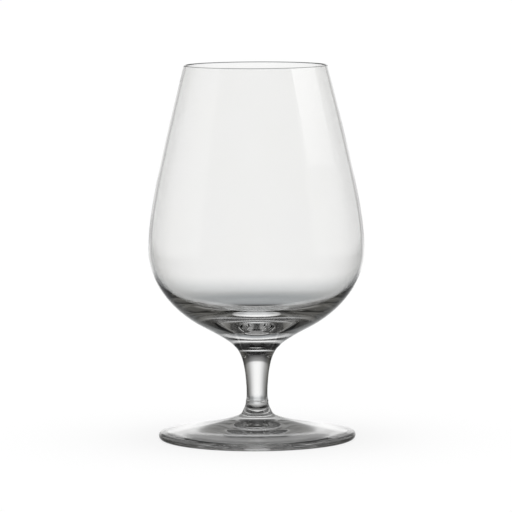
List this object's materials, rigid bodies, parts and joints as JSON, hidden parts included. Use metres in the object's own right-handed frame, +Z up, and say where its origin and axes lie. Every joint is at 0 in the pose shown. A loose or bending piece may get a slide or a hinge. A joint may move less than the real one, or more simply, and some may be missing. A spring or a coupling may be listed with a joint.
{
  "type": "snifter glass",
  "caption": "Short-stemmed snifter of clear glass: an egg-shaped bowl that narrows to its rim, on a waisted stem and a round foot.",
  "frame": {"origin": "middle of the plane that the foot stands on", "axes": "+Z up along the axis of the glass, +X and +Y level"},
  "size_m": [0.0864, 0.0864, 0.15],
  "materials": {
    "clear_glass": "fire-polished clear glass"
  },
  "bodies": {
    "root": {"bowl": "clear_glass", "stem": "clear_glass", "foot": "clear_glass"}
  },
  "joints": []
}
